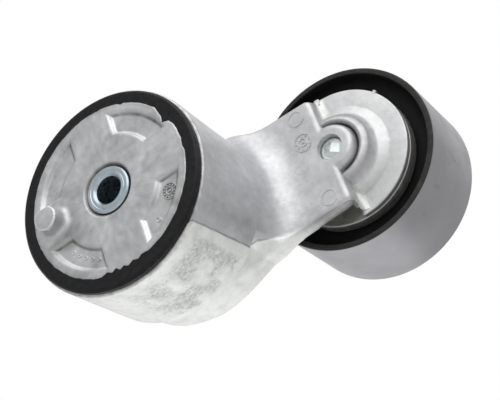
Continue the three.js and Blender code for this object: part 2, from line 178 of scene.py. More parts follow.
def turned_solid(name, outline, centre_x, sides, sharp_deg=35):
    """Turns an open (radius, y) outline whose two ends lie on the axis."""
    first, last = outline[0][1], outline[-1][1]
    ring = [p for p in outline if p[0] > 1e-6]
    vertices = [(centre_x, first, 0.0)]
    for i in range(sides):
        angle = i * 2 * math.pi / sides
        vertices += [(centre_x + r * math.cos(angle), y, r * math.sin(angle)) for r, y in ring]
    vertices.append((centre_x, last, 0.0))
    count, end = len(ring), len(vertices) - 1
    faces = []
    for i in range(sides):
        here, there = 1 + i * count, 1 + (i + 1) % sides * count
        faces.append((0, there, here))
        faces += [(here + j, there + j, there + j + 1, here + j + 1) for j in range(count - 1)]
        faces.append((end, here + count - 1, there + count - 1))
    return face_outwards(new_object(name, vertices, faces, sharp_deg))


def along_y(a, b, along):
    return a, along, b


def along_z(a, b, along):
    return a, b, along


def prism(name, outline, start, end, place=along_y):
    """Extrudes a closed outline from start to end: (x, z) along y, or (x, y) along z."""
    count = len(outline)
    vertices = [place(a, b, along) for along in (start, end) for a, b in outline]
    faces = [tuple(range(count)), tuple(reversed(range(count, 2 * count)))]
    faces += [(i, (i + 1) % count, count + (i + 1) % count, count + i) for i in range(count)]
    return face_outwards(new_object(name, vertices, faces))


def combine(base, tool, operation):
    """Joins tool to base, or cuts it away, and removes tool."""
    modifier = base.modifiers.new("combine", "BOOLEAN")
    modifier.operation = operation
    modifier.solver = "MANIFOLD"
    modifier.object = tool
    graph = bpy.context.evaluated_depsgraph_get()
    mesh = bpy.data.meshes.new_from_object(base.evaluated_get(graph))
    base.modifiers.clear()
    old, base.data = base.data, mesh
    mesh.name = base.name
    bpy.data.meshes.remove(old)
    bpy.data.objects.remove(tool)
    return base


def shade(piece, sharp_deg=35):
    piece.data.polygons.foreach_set("use_smooth", [True] * len(piece.data.polygons))
    piece.data.set_sharp_from_angle(angle=math.radians(sharp_deg))
    return piece


# ---- solid fields

class Grid:
    """Sample planes along x, y and z, and fields on them that are negative inside a solid."""

    def __init__(self, xs, ys, zs):
        self.xs, self.ys, self.zs = (np.asarray(a, np.float32) for a in (xs, ys, zs))
        self.x = self.xs[:, None, None]
        self.y = self.ys[None, :, None]
        self.z = self.zs[None, None, :]

    def turned(self, outline, centre_x=0.0):
        """The field of a (radius, y) outline turned about an axis."""
        reach = np.hypot(np.abs(self.xs - centre_x).max(), np.abs(self.zs).max()) + 1
        radii = np.arange(0, reach, 0.2)
        table = outline_distance(outline, radii[:, None], self.ys[None, :].astype(float))
        flat = np.hypot(self.xs[:, None] - centre_x, self.zs[None, :])
        field = np.empty((len(self.xs), len(self.ys), len(self.zs)), np.float32)
        for j in range(len(self.ys)):
            field[:, j, :] = np.interp(flat, radii, table[:, j])
        return field

    def flat(self, outline):
        """The distance to an (x, z) outline, the same on every y plane."""
        return outline_distance(outline, self.xs[:, None], self.zs[None, :]).astype(np.float32)[:, None, :]

    def mesh(self, name, field, sharp_deg=50):
        """The surface where the field is zero, one vertex in each cell that it crosses."""
        shape = np.array(field.shape) - 1
        total = np.prod(shape)
        sums = np.zeros((3, total))
        counts = np.zeros(total)
        planes = (self.xs, self.ys, self.zs)
        quads = []
        for axis in range(3):
            low = field[tuple(slice(None, -1) if a == axis else slice(None) for a in range(3))]
            high = field[tuple(slice(1, None) if a == axis else slice(None) for a in range(3))]
            index = np.argwhere((low < 0) != (high < 0))
            a, b = low[tuple(index.T)], high[tuple(index.T)]
            share = a / (a - b)
            point = [planes[k][index[:, k]].astype(float) for k in range(3)]
            step = planes[axis][index[:, axis] + 1] - planes[axis][index[:, axis]]
            point[axis] = point[axis] + share * step
            u, v = (axis + 1) % 3, (axis + 2) % 3
            around = []
            for du, dv in ((-1, -1), (0, -1), (0, 0), (-1, 0)):
                cell = index.copy()
                cell[:, u] += du
                cell[:, v] += dv
                flat = np.ravel_multi_index(cell.T, shape)
                for k in range(3):
                    sums[k] += np.bincount(flat, point[k], total)
                counts += np.bincount(flat, minlength=total)
                around.append(flat)
            around = np.stack(around, 1)
            around[b < 0] = around[b < 0][:, ::-1]
            quads.append(around)
        quads = np.concatenate(quads)
        used, faces = np.unique(quads, return_inverse=True)
        vertices = (sums[:, used] / counts[used]).T
        return face_outwards(new_object(name, vertices, faces.reshape(quads.shape).tolist(), sharp_deg))


def outline_distance(outline, a, b):
    """Signed distance from points (a, b) to a closed outline, negative inside."""
    points = np.asarray(outline, float)
    nearest = np.full(np.broadcast(a, b).shape, 1e9)
    inside = np.zeros(nearest.shape, bool)
    for (a0, b0), (a1, b1) in zip(points, np.roll(points, -1, axis=0)):
        da, db = a1 - a0, b1 - b0
        length = da * da + db * db
        if length < 1e-12:
            continue
        t = np.clip(((a - a0) * da + (b - b0) * db) / length, 0, 1)
        nearest = np.minimum(nearest, (a - a0 - t * da) ** 2 + (b - b0 - t * db) ** 2)
        if db != 0:
            crosses = ((b0 <= b) != (b1 <= b)) & (a < a0 + (b - b0) * da / db)
            inside ^= crosses
    return np.where(inside, -1, 1) * np.sqrt(nearest)


def join(a, b, blend):
    """Union of two fields with a hollow fillet."""
    h = np.clip(0.5 + 0.5 * (b - a) / blend, 0, 1)
    return b + (a - b) * h - blend * h * (1 - h)


def keep(a, b, blend):
    """Intersection of two fields with a rounded edge."""
    return -join(-a, -b, blend)


def remove(a, b, blend):
    """Field a with b cut away, and the edge rounded."""
    return keep(a, -b, blend)


def ease(value, low, high):
    """0 up to low, 1 from high, and a smooth curve between them."""
    t = np.clip((value - low) / (high - low), 0, 1)
    return t * t * (3 - 2 * t)


def band(value, middle, half_width, fade):
    """1 near the middle, falling to 0 at half_width from it."""
    return ease(half_width - np.abs(value - middle), 0, fade)


def lattice_noise(points, cell, seed):
    """Smooth noise from -1 to 1 at points (..., 3), with features about cell across."""
    table = np.random.default_rng(seed).uniform(-1, 1, (32, 32, 32))
    scaled = np.asarray(points, float) / cell
    base = np.floor(scaled).astype(int)
    t = scaled - base
    t = t * t * (3 - 2 * t)
    total = 0.0
    for corner in np.ndindex(2, 2, 2):
        weight = np.prod([t[..., k] if corner[k] else 1 - t[..., k] for k in range(3)], axis=0)
        index = (base + corner) % 32
        total = total + weight * table[index[..., 0], index[..., 1], index[..., 2]]
    return total


def steps_between(stops):
    """Sample planes: stops is a list of (position, spacing up to the next position)."""
    planes = []
    for (start, spacing), (end, _) in zip(stops, stops[1:]):
        count = max(1, round((end - start) / spacing))
        planes += list(start + (end - start) * np.arange(count) / count)
    return planes + [stops[-1][0]]


# ---- materials

def material(name, colour, metallic, roughness, **sockets):
    """A material with its shader and a helper to add nodes to it."""
    made = bpy.data.materials.new(name)
    made.use_nodes = True
    shader = made.node_tree.nodes["Principled BSDF"]
    shader.inputs["Base Color"].default_value = (*colour, 1)
    shader.inputs["Metallic"].default_value = metallic
    shader.inputs["Roughness"].default_value = roughness
    for socket, value in sockets.items():
        shader.inputs[socket.replace("_", " ")].default_value = value
    return made


class Nodes:
    """Short calls for the few node kinds that the materials and the world are made of."""

    def __init__(self, made, shader="Principled BSDF", place="Object"):
        self.tree = made.node_tree
        self.shader = self.tree.nodes[shader]
        self.place = self.add("ShaderNodeTexCoord").outputs[place]

    def add(self, kind, **settings):
        node = self.tree.nodes.new(kind)
        for key, value in settings.items():
            setattr(node, key, value)
        return node

    def put(self, source, socket):
        """Links a node's output to a socket, or sets the socket's own value."""
        if isinstance(source, bpy.types.NodeSocket):
            self.tree.links.new(source, socket)
        elif hasattr(source, "__len__"):
            socket.default_value = (*source, 1)
        else:
            socket.default_value = source

    def shade(self, name, source):
        self.tree.links.new(source, self.shader.inputs[name])

    def noise(self, size_mm, detail=4, roughness=0.55, stretch=None):
        """Noise whose features are about size_mm across."""
        node = self.add("ShaderNodeTexNoise")
        node.inputs["Scale"].default_value = 1 / (size_mm * MM)
        node.inputs["Detail"].default_value = detail
        node.inputs["Roughness"].default_value = roughness
        place = self.place
        if stretch:
            mapping = self.add("ShaderNodeMapping")
            mapping.inputs["Scale"].default_value = stretch
            self.put(place, mapping.inputs["Vector"])
            place = mapping.outputs["Vector"]
        self.put(place, node.inputs["Vector"])
        return node.outputs["Fac"]

    def ramp(self, value, *stops):
        """Maps a value to colours: stops are (position, grey or colour)."""
        node = self.add("ShaderNodeValToRGB")
        elements = node.color_ramp.elements
        while len(elements) < len(stops):
            elements.new(0.5)
        for element, (position, colour) in zip(elements, stops):
            element.position = position
            element.color = (*colour, 1) if hasattr(colour, "__len__") else (colour, colour, colour, 1)
        self.put(value, node.inputs["Fac"])
        return node.outputs["Color"]

    def mix(self, factor, a, b, blend="MIX"):
        node = self.add("ShaderNodeMix", data_type="RGBA", blend_type=blend)
        for source, socket in ((factor, node.inputs[0]), (a, node.inputs[6]), (b, node.inputs[7])):
            self.put(source, socket)
        return node.outputs[2]

    def attribute(self, name):
        return self.add("ShaderNodeAttribute", attribute_name=name).outputs["Fac"]

    def bump(self, height, depth_mm, strength=1.0, normal=None):
        node = self.add("ShaderNodeBump")
        node.inputs["Distance"].default_value = depth_mm * MM
        node.inputs["Strength"].default_value = strength
        self.put(height, node.inputs["Height"])
        if normal is not None:
            self.put(normal, node.inputs["Normal"])
        return node.outputs["Normal"]

    def sum(self, operation, *values):
        node = self.add("ShaderNodeMath", operation=operation)
        for value, socket in zip(values, node.inputs):
            self.put(value, socket)
        return node.outputs[0]

    def along(self):
        """The X, Y and Z of the place, in metres."""
        node = self.add("ShaderNodeSeparateXYZ")
        self.put(self.place, node.inputs[0])
        return node.outputs

    def radius(self, centre_x):
        """Distance from the axis at centre_x, in metres."""
        x, _, z = self.along()
        squares = [self.sum("POWER", value, 2) for value in (self.sum("SUBTRACT", x, centre_x * MM), z)]
        return self.sum("SQRT", self.sum("ADD", *squares))

    def lines(self, value, pitch_mm):
        """Fine tool lines that repeat along a length."""
        return self.sum("SINE", self.sum("MULTIPLY", value, 2 * math.pi / (pitch_mm * MM)))


WHITE = (1.0, 1.0, 1.0)


def cast_aluminium(name, light, dark, pale_rough_and_highlight, roughness):
    """Die-cast aluminium: cloudy skin, fine grain and dark specks.

    Where rough_skin_and_highlight is 1 the skin is paler and rougher: pale rough skin, and also painted
    highlights on lit walls and edges.
    Where cast_pits is 1 it is pitted, and where hollow is 1 it is darker: painted shade in recesses and on
    walls turned from the light, with grime and stains.
    """
    made = material(name, light, 0.85, roughness)
    n = Nodes(made)
    skin = n.ramp(n.noise(11, detail=6, roughness=0.6), (0.3, dark), (0.7, light))
    flow = n.noise(2.6, detail=6, roughness=0.65, stretch=(1, 0.4, 1))
    skin = n.mix(0.4, skin, n.ramp(flow, (0.25, [c * 0.9 for c in dark]), (0.75, WHITE)), "MULTIPLY")
    specks = n.ramp(n.noise(0.8, detail=5, roughness=0.7), (0.27, 0.42), (0.36, 1.0))
    skin = n.mix(0.8, skin, specks, "MULTIPLY")
    # rough_skin_and_highlight is 1 on pale rough skin, and also on painted highlights: lit pocket walls, the
    # pin's edge, a band round the hub and the end wall's foot
    rough = n.attribute("rough_skin_and_highlight")
    rough_dark = [c * 0.84 for c in pale_rough_and_highlight]
    clear = n.ramp(n.noise(7, detail=8, roughness=0.7), (0.36, rough_dark), (0.58, pale_rough_and_highlight))
    pitted = n.attribute("cast_pits")
    pits = n.ramp(n.noise(1.6, detail=8, roughness=0.8), (0.38, 0.0), (0.56, 1.0))
    holes = n.mix(pitted, WHITE, n.ramp(pits, (0.0, 0.66), (1.0, 1.0)))
    pale = n.mix(1.0, clear, holes, "MULTIPLY")
    pale = n.mix(0.35, pale, specks, "MULTIPLY")
    undarkened = n.mix(rough, skin, pale)
    # The darker mix paints shade in recesses and on walls turned from the light, together with grime and
    # stains
    grimy_and_shaded = n.mix(1.0, undarkened, (0.3, 0.29, 0.27), "MULTIPLY")
    n.shade("Base Color", n.mix(n.attribute("hollow"), undarkened, grimy_and_shaded))
    gloss = n.ramp(n.noise(2.2, detail=5), (0.3, roughness - 0.06), (0.75, roughness + 0.12))
    n.shade("Roughness", n.mix(rough, gloss, (0.62, 0.62, 0.62)))
    grain = n.bump(n.noise(0.45, detail=3), 0.045)
    waves = n.bump(n.noise(4, detail=3), 0.14, normal=grain)
    n.shade("Normal", n.bump(n.mix(pitted, WHITE, pits), 0.16, 0.9, waves))
    return made


def turned_steel(name, colour, roughness, centre_x=0.0, pitch=0.35):
    """Plated turned steel with fine concentric tool lines."""
    made = material(name, colour, 1.0, roughness)
    n = Nodes(made)
    tint = n.ramp(n.noise(3, detail=4), (0.3, [c * 0.8 for c in colour]), (0.75, colour))
    n.shade("Base Color", tint)
    n.shade("Roughness", n.ramp(n.noise(1.5, detail=4), (0.3, roughness - 0.08), (0.7, roughness + 0.1)))
    tool = n.bump(n.lines(n.radius(centre_x), pitch), 0.006)
    n.shade("Normal", n.bump(n.noise(0.4), 0.008, normal=tool))
    return made


def moulded(name, colour, roughness, dust, gloss=0.4):
    """Moulded polymer, rubber or black paint with a fine skin texture and a little dust."""
    made = material(name, colour, 0.0, roughness, Specular_IOR_Level=gloss)
    n = Nodes(made)
    dusty = n.ramp(n.noise(2.5, detail=7, roughness=0.7), (0.45, 0.0), (0.8, 1.0))
    n.shade("Base Color", n.mix(dusty, colour, dust))
    n.shade("Roughness", n.ramp(n.noise(6, detail=4), (0.3, roughness - 0.08), (0.7, roughness + 0.1)))
    n.shade("Normal", n.bump(n.noise(0.35, detail=3), 0.02))
    return made


def running_surface():
    """Satin steel of the belt surface: soft clouds, faint lines round the pulley and a few darker smears."""
    made = material("pulley_running_surface", (0.3, 0.3, 0.315), 0.9, 0.38)
    n = Nodes(made)
    clouds = n.ramp(n.noise(22, detail=3, roughness=0.45),
                    (0.3, (0.27, 0.27, 0.285)), (0.7, (0.31, 0.31, 0.325)))
    smears = n.ramp(n.noise(9, detail=4, roughness=0.5, stretch=(1, 0.5, 1)), (0.24, 0.72), (0.36, 1.0))
    n.shade("Base Color", n.mix(1.0, clouds, smears, "MULTIPLY"))
    n.shade("Roughness", n.ramp(n.noise(8, detail=3), (0.3, 0.33), (0.7, 0.43)))
    tool = n.bump(n.lines(n.along()["Y"], 0.5), 0.002)
    n.shade("Normal", n.bump(n.noise(0.7), 0.005, normal=tool))
    return made


# On the disc the pale colour is white and is used only for painted highlights
CAST_DISC = cast_aluminium("cast_disc", (0.72, 0.73, 0.74), (0.46, 0.465, 0.47), WHITE, 0.42)
CAST_ARM = cast_aluminium("cast_arm", (0.67, 0.67, 0.685), (0.53, 0.535, 0.545), (0.8, 0.81, 0.79), 0.42)
ZINC_PIVOT = turned_steel("zinc_pivot", (0.5, 0.58, 0.63), 0.3)
ZINC_PULLEY = turned_steel("zinc_pulley", (0.7, 0.76, 0.75), 0.36, PULLEY_X)
BLACK_RING = moulded("black_ring", (0.004, 0.004, 0.005), 0.4, (0.016, 0.016, 0.019), 0.22)
BLACK_COAT = moulded("black_coat", (0.009, 0.009, 0.009), 0.55, (0.014, 0.014, 0.014), 0.12)
RIM_COAT = moulded("rim_coat", (0.026, 0.025, 0.024), 0.5, (0.055, 0.05, 0.045), 0.14)
DULL_ZINC = turned_steel("dull_zinc", (0.62, 0.63, 0.56), 0.4, PULLEY_X, 0.9)
SHADE_STEEL = turned_steel("shade_steel", (0.62, 0.62, 0.6), 0.55, PULLEY_X, 0.8)
SEAL_RUBBER = moulded("seal_rubber", (0.02, 0.02, 0.02), 0.6, (0.05, 0.05, 0.05))
PALE_POLYMER = moulded("pale_polymer", (0.6, 0.54, 0.42), 0.5, (0.5, 0.45, 0.36))
SPRING_STEEL = turned_steel("spring_steel", (0.12, 0.125, 0.135), 0.42)
BEARING_STEEL = turned_steel("bearing_steel", (0.7, 0.7, 0.71), 0.14, PULLEY_X, 0.5)
RUNNING = running_surface()


def recolour(node, made):
    """Gives a CAD node that stays in the picture its material."""
    frame["nodes"][node].data.materials.clear()
    frame["nodes"][node].data.materials.append(made)


def paint(piece, choose):
    """Gives each polygon the material number that choose(distance from the pulley axis, y) returns."""
    for polygon in piece.data.polygons:
        centre = polygon.center / MM
        polygon.material_index = choose(math.hypot(centre.x - PULLEY_X, centre.z), centre.y)


def store(piece, name, values):
    """Keeps one number for each vertex, for the material to read."""
    made = piece.data.attributes.new(name, "FLOAT", "POINT")
    made.data.foreach_set("value", np.asarray(values, np.float32))


def points_of(piece):
    """The piece's vertices in millimetres, one to a row."""
    place = np.empty(len(piece.data.vertices) * 3)
    piece.data.vertices.foreach_get("co", place)
    return place.reshape(-1, 3) / MM


def fit(piece, body, slot, nodes, *materials):
    """Gives a finished piece its body and materials, and hides the CAD nodes it stands for; slot is not used.
    """
    numbers = [polygon.material_index for polygon in piece.data.polygons]
    piece.data.materials.clear()
    for made in materials:
        piece.data.materials.append(made)
    piece.data.polygons.foreach_set("material_index", numbers)
    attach(piece, body)
    if nodes:
        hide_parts(*nodes)
    return piece


# ---- fixed side

# Angle in degrees and depth of the laps of black moulding over the disc's edge
LAPS = [(14, 0.2), (18, 1.0), (21, 3.2), (25, 1.8), (30, 0.9), (33, 0.2), (60, 0.2), (62, 0.9), (65, 0.2),
        (135, 0.1), (200, 0.2), (238, 0.3), (248, 0.6), (252, 2.2), (256, 1.4), (259, 2.6), (262, 1.2),
        (265, 2.2), (268, 1.1), (272, 2.1), (276, 1.0), (279, 1.9), (284, 0.8), (300, 0.5), (330, 0.3),
        (352, 0.1), (355, 0.7), (374, 0.2)]
LAP_TURNS, LAP_DEPTHS = zip(*LAPS)
LAP_STEPS = 360


def pocket_outlines():
    """The four sector pockets of the disc."""
    outer = math.degrees(math.asin(RIB_HALF_WIDTH / POCKET_OUTER_R))
    inner = math.degrees(math.asin(RIB_HALF_WIDTH / POCKET_INNER_R))
    first = arc(POCKET_OUTER_R, outer, 90 - outer, 24) + arc(POCKET_INNER_R, 90 - inner, inner, 16)
    turns = ((1, 0), (0, 1), (-1, 0), (0, -1))
    return [[(c * x - s * z, s * x + c * z) for x, z in first] for c, s in turns]


def disc_bite(angle):
    """How far the ring's moulding laps inwards over the disc's edge, by angle in radians."""
    turn = np.degrees(angle) % 360
    lap = np.interp(turn, LAP_TURNS, LAP_DEPTHS)
    ragged = lattice_noise(np.stack([4.2 * np.cos(angle), 4.2 * np.sin(angle), 0 * angle], -1), 0.22, 5)
    return lap + 0.16 * ragged + 0.1


def stop_outline(outer, middle):
    """A short piece of ring, from the stops' inner radius to outer, about an angle in degrees."""
    start, end = middle - STOP_HALF_ANGLE, middle + STOP_HALF_ANGLE
    return arc(outer, start, end, 8) + arc(STOP_INNER_R, end, start, 8)


def disc_casting():
    """Disc, hub tube, spring platform and pin as one blended casting with four pockets."""
    margin = DISC_R + 1.2
    across = steps_between([(-margin, 0.4), (margin, 0.4)])
    down = steps_between([(-PIN_HEIGHT - 1, 0.4), (-1, 0.2), (2.4, 0.5), (15, 0.7), (19, 2.5),
                          (HUB_TUBE_END - 2, 0.5), (HUB_TUBE_END + 1, 1)])
    g = Grid(across, down, across)
    body = g.turned(rounded([
        (SLEEVE_R + 1.4, 0, 0.3), (DISC_R, 0, 0.4), (DISC_R, DISC_THICKNESS, 0.3),
        (PLATFORM_R, DISC_THICKNESS, 0.3), (PLATFORM_R, PLATFORM_HEIGHT, 0.5),
        (PLATFORM_INNER_R, PLATFORM_HEIGHT, 0.5), (PLATFORM_INNER_R, DISC_THICKNESS, 0.5),
        (HUB_FOOT_R, DISC_THICKNESS, 0.5), (HUB_TUBE_R, 12, 0.5), (HUB_TUBE_R, HUB_TUBE_END, 0.4),
        (SLEEVE_R + 0.3, HUB_TUBE_END, 0), (SLEEVE_R + 0.3, 1.2, 0.2)]))
    pin = g.turned(rounded([(0, 3, 0), (PIN_R + 0.1, 3, 0), (PIN_R, -PIN_HEIGHT, 0.45), (0, -PIN_HEIGHT, 0)]),
                   PIN_X)
    body = join(body, pin, 3.2)
    pockets = np.minimum.reduce([g.flat(outline) for outline in pocket_outlines()])
    wall = pockets + 0.75 * g.y + 0.1
    body = remove(body, keep(wall, g.y - POCKET_DEPTH, 0.6), 0.7)
    edge = np.hypot(g.x, g.z) - (DISC_R - disc_bite(np.arctan2(g.z, g.x)))
    return g.mesh("base_plate_cast", remove(body, keep(-edge, g.y - 0.7, 0.2), 0.25))


def base_plate():
    piece = disc_casting()
    for mark in disc_marks():
        combine(piece, mark, "UNION")
    for angle in LUG_ANGLES:
        lug = prism("lug", stop_outline(DISC_R - 0.1, angle), LUG_START, LUG_END)
        combine(piece, lug, "UNION")
    shade(piece, 50)
    x, y, z = points_of(piece).T
    slope = light_facing(piece)
    # Painted highlight: paler pocket walls that face the light (+X and +Z), and a pale rim round the pin's
    # end
    wall = ease(y, 0.1, 0.4) * (y < POCKET_DEPTH + 0.1) * (np.hypot(x, z) < POCKET_OUTER_R + 1)
    pin_edge_highlight = ease(-PIN_HEIGHT + 0.9 - y, 0, 0.5) * (np.hypot(x - PIN_X, z) > PIN_R - 0.6)
    painted_highlight = 0.55 * wall * ease(slope, 0.1, 0.45) + 0.5 * pin_edge_highlight
    store(piece, "rough_skin_and_highlight", np.clip(painted_highlight, 0, 1))
    store(piece, "hollow", disc_shade_and_stains(x, y, z, slope))
    return fit(piece, "base", "cast_aluminium", ["base_plate"], CAST_DISC)


def light_facing(piece):
    """How much each vertex of the disc faces the light (+X and +Z), where highlight is painted, rather than
    away from it, where shade is painted.
    """
    normals = np.empty(len(piece.data.vertices) * 3)
    piece.data.vertices.foreach_get("normal", normals)
    normals = normals.reshape(-1, 3)
    return 0.8 * normals[:, 0] + 0.6 * normals[:, 2]


def disc_shade_and_stains(x, y, z, slope):
    """Painted shade on the pocket walls turned from the light and in the gap round the sleeve, darker round
    the dial and along the disc's edge, and cloudy stains.
    """
    points = np.stack([x, y, z], -1)
    patchy = 0.5 + 0.5 * lattice_noise(points, 2.5, 3)
    radius = np.hypot(x, z)
    gap = np.minimum.reduce([np.abs(outline_distance(outline, x, z) + 1.0) for outline in pocket_outlines()])
    # Painted shade on pocket walls that face away from the light (-X and -Z), and in the gap round the sleeve
    pocket_wall_shade = ease(y, 0.3, POCKET_DEPTH - 0.1) * ease(1.1 - gap, 0, 0.7) * (y < 4) * \
        ease(-slope, 0.02, 0.3)
    sleeve = ease(SLEEVE_R + 1.6 - radius, 0, 0.8) * (y < 4)
    # Darker along the disc's edge and round the dial's foot
    edge = ease(radius - DISC_R + 2.6, 0, 2.6) * (y < 1)
    dial_gap = np.hypot(x - DIAL_X, z - DIAL_Z)
    marks = ease(DIAL_R + 0.3 - dial_gap, 0, 0.3) * (y > POCKET_DEPTH - 0.12) * (y < POCKET_DEPTH + 0.5)
    # Cloudy stains
    cloudy = lattice_noise(points, 9, 12) + 0.5 * lattice_noise(points, 3, 13)
    stain = ease(cloudy, 0.25, 1.1) * (y < 4)
    shade_and_grime = pocket_wall_shade * (0.35 + 0.65 * patchy) + 0.8 * sleeve + 0.5 * edge * patchy + 0.5 * marks + 0.3 * stain
    return np.clip(shade_and_grime, 0, 1)


def raised_ring(name, centre, radius, width, base, height):
    """A low raised ring on a face at y = base."""
    x, z = centre
    outline = rounded([(radius - width, base + 0.4, 0), (radius - width * 0.7, base - height, 0.05),
                       (radius + width * 0.7, base - height, 0.05), (radius + width, base + 0.4, 0)], 2)
    piece = turned(name, outline, sides=48)
    piece.data.transform(Matrix.Translation(Vector((x, 0, z)) * MM))
    return piece


def dial(centre, radius, base, height, ticks):
    """A plain casting dial: two rings with short ticks between them and a bar in the middle."""
    x, z = centre
    top, foot, half = base - height, base + 0.4, 0.17
    parts = [raised_ring("dial", centre, radius, 0.16, base, height),
             raised_ring("dial", centre, radius * 0.45, 0.14, base, height)]
    for i in range(ticks):
        a = math.radians(i * 360 / ticks + 7)
        across, along = Vector((-math.sin(a), math.cos(a))) * half, Vector((math.cos(a), math.sin(a)))
        near, far = along * radius * 0.66, along * radius * 0.88
        corners = [near + across, far + across, far - across, near - across]
        parts.append(prism("tick", [(x + p.x, z + p.y) for p in corners], top, foot))
    bar = [(x - 0.7, z - half), (x + 0.7, z - half), (x + 0.7, z + half), (x - 0.7, z + half)]
    parts.append(prism("bar", bar, top, foot))
    return parts


def disc_marks():
    """Casting dial and small raised rings in the disc's pockets, with no lettering."""
    marks = dial((DIAL_X, DIAL_Z), DIAL_R, POCKET_DEPTH, 0.42, 12)
    marks.append(raised_ring("pip", (15.6, -24.0), 0.85, 0.24, POCKET_DEPTH, 0.35))
    for x, z in ((-22.3, -15.2), (-20.3, -18.0), (-18.0, -20.4), (-15.4, -22.5), (-12.7, -24.2)):
        marks.append(raised_ring("pip", (x, z), 0.6, 0.26, POCKET_DEPTH, 0.3))
    return marks


def friction_ring():
    inner = DISC_R + 0.3
    outline = rounded([
        (inner, 0.6, 0.2), (inner + 0.5, 0.1, 0.4), (RING_R - 0.9, 0, 0.9), (RING_R, 0.8, 0.5),
        (RING_R, 2.5, 0.2), (RING_SKIRT_R, 2.5, 0.2), (RING_SKIRT_R, RING_SKIRT_END, 0.2),
        (inner, RING_SKIRT_END, 0.2)])
    ring = turned("friction_ring_moulded", outline, sides=240)
    angles = np.arange(LAP_STEPS) * 2 * math.pi / LAP_STEPS
    root, low, high = inner + 0.45, 0.1, 0.62
    vertices = []
    for angle, depth in zip(angles, np.maximum(disc_bite(angles), 0.02)):
        section = [(root, high), (DISC_R - depth, high), (DISC_R - depth, low), (root, low)]
        vertices += [(math.cos(angle) * r, y, math.sin(angle) * r) for r, y in section]
    combine(ring, face_outwards(new_object("laps", vertices, tube_faces(LAP_STEPS, 4))), "UNION")
    shade(ring)
    return fit(ring, "base", "black_polymer", ["friction_ring"], BLACK_RING)


def pivot_sleeve():
    bore, end = 5.6, SLEEVE_END
    outline = rounded([
        (bore, 0.9, 0.2), (bore + 0.9, 0, 0.15), (7.5, 0, 0.1), (7.7, 0.25, 0.1), (8.0, 0, 0.1),
        (SLEEVE_R - 0.6, 0, 0.3), (SLEEVE_R, 0.6, 0.3), (SLEEVE_R, end - 0.6, 0.3),
        (SLEEVE_R - 0.6, end, 0.3), (bore + 0.9, end, 0.15), (bore, end - 0.9, 0.2)], 3)
    piece = turned("pivot_sleeve_turned", outline, sides=96)
    return fit(piece, "base", "zinc_steel", ["pivot_sleeve"], ZINC_PIVOT)


def plain_ring(name, node, body, slot, made, inner, edge=0.25, centre_x=0.0):
    """A washer-like piece with softened edges, on the CAD node's own size."""
    low, high = span(node)
    outer = high.z
    outline = rounded([
        (inner, low.y, edge), (outer, low.y, edge), (outer, high.y, edge), (inner, high.y, edge)], 3)
    return fit(turned(name, outline, centre_x, sides=96), body, slot, [node], made)


# ---- arm

def parting_height(y):
    """Height of the die's parting line below the housing: it steps past the barrel's end."""
    barrel = -31.5 + 0.057 * y
    plate = -PLATE_HALF_WIDTH - 0.1
    return barrel + (plate - barrel) * ease(y, 44.8, 46.6)


def plate_outline():
    """Near face of the arm: two straight sides, a square end and the round boss."""
    half = PLATE_HALF_WIDTH
    boss = math.degrees(math.acos((PLATE_EDGE_X - PULLEY_X) / BOSS_R))
    side = [(5, half + 1.6, 0), (30, half + 1.4, 0), (46, half + 0.7, 0), (PLATE_EDGE_X, half - 0.2, 2.2)]
    upper = rounded(side + [(PLATE_EDGE_X, 11, 0), (5, 11, 0)])[:-2]
    lower = [(x, -z) for x, z in reversed(upper)]
    return upper + arc(BOSS_R, boss, -boss, 24, (PULLEY_X, 0)) + lower


def housing_casting():
    """Cup, neck and plate as one blended casting."""
    g = Grid(steps_between([(-LIP_R - 1.5, 0.7), (20, 0.55), (PULLEY_X + BOSS_R + 2, 1)]),
             steps_between([(1.6, 0.55), (HOUSING_END + 4.5, 1)]),
             steps_between([(-LIP_R - 1.5, 0.55), (LIP_R + 1.5, 0.55)]))
    shell = g.turned(rounded([
        (0, 2.8, 0), (LIP_R, 2.8, 0.7), (BARREL_R, BARREL_END, 2.4), (SHOULDER_R, SHOULDER_Y + 0.6, 2.2),
        (SHOULDER_R, HOUSING_END, 1.3), (0, HOUSING_END, 0)]))
    outline = g.flat(plate_outline())
    plate = keep(outline - 0.34 * np.maximum(g.y - PLATE_FACE, 0), PLATE_FACE - g.y, 1.6)
    plate = keep(plate, g.y - HOUSING_END - 2, 0.5)
    boss = g.turned([(0, PLATE_FACE + 1), (BOSS_R, PLATE_FACE + 1), (BOSS_R, 64), (0, 64)], PULLEY_X)
    full = g.turned([(0, 4), (LIP_R - 0.03, 4), (BARREL_R, BARREL_END), (BARREL_R - 0.3, HOUSING_END),
                     (0, HOUSING_END)])
    neck = keep(keep(full, outline + 1.5, 3), 6 - g.x, 0.5)
    shell = np.minimum(shell, neck)
    body = join(shell, plate, 15)
    body = keep(body, g.y - HOUSING_END, 1.0)
    body = np.minimum(body, boss)
    below = ease(parting_height(g.y) - g.z, -0.25, 0.35)
    side = ease(g.x, 5, 20)
    body = body - 0.32 * below * side * ease(HOUSING_END - g.y, 0.5, 3)
    cavity = g.turned(rounded([
        (0, -5, 0), (CAVITY_R, -5, 0), (CAVITY_R, 3.5, 0), (CAVITY_R - 0.5, 43, 1.5),
        (CAVITY_DEEP_R, 47, 1.5), (CAVITY_DEEP_R, CAVITY_END, 1.5), (ARM_HUB_R, CAVITY_END, 1.5),
        (ARM_HUB_R, ARM_HUB_START, 0.5), (ARM_HUB_BORE_R, ARM_HUB_START, 0.4),
        (ARM_HUB_BORE_R, HOUSING_END + 6, 0), (0, HOUSING_END + 6, 0)]))
    return g.mesh("arm_housing_cast", remove(body, cavity, 0.7))


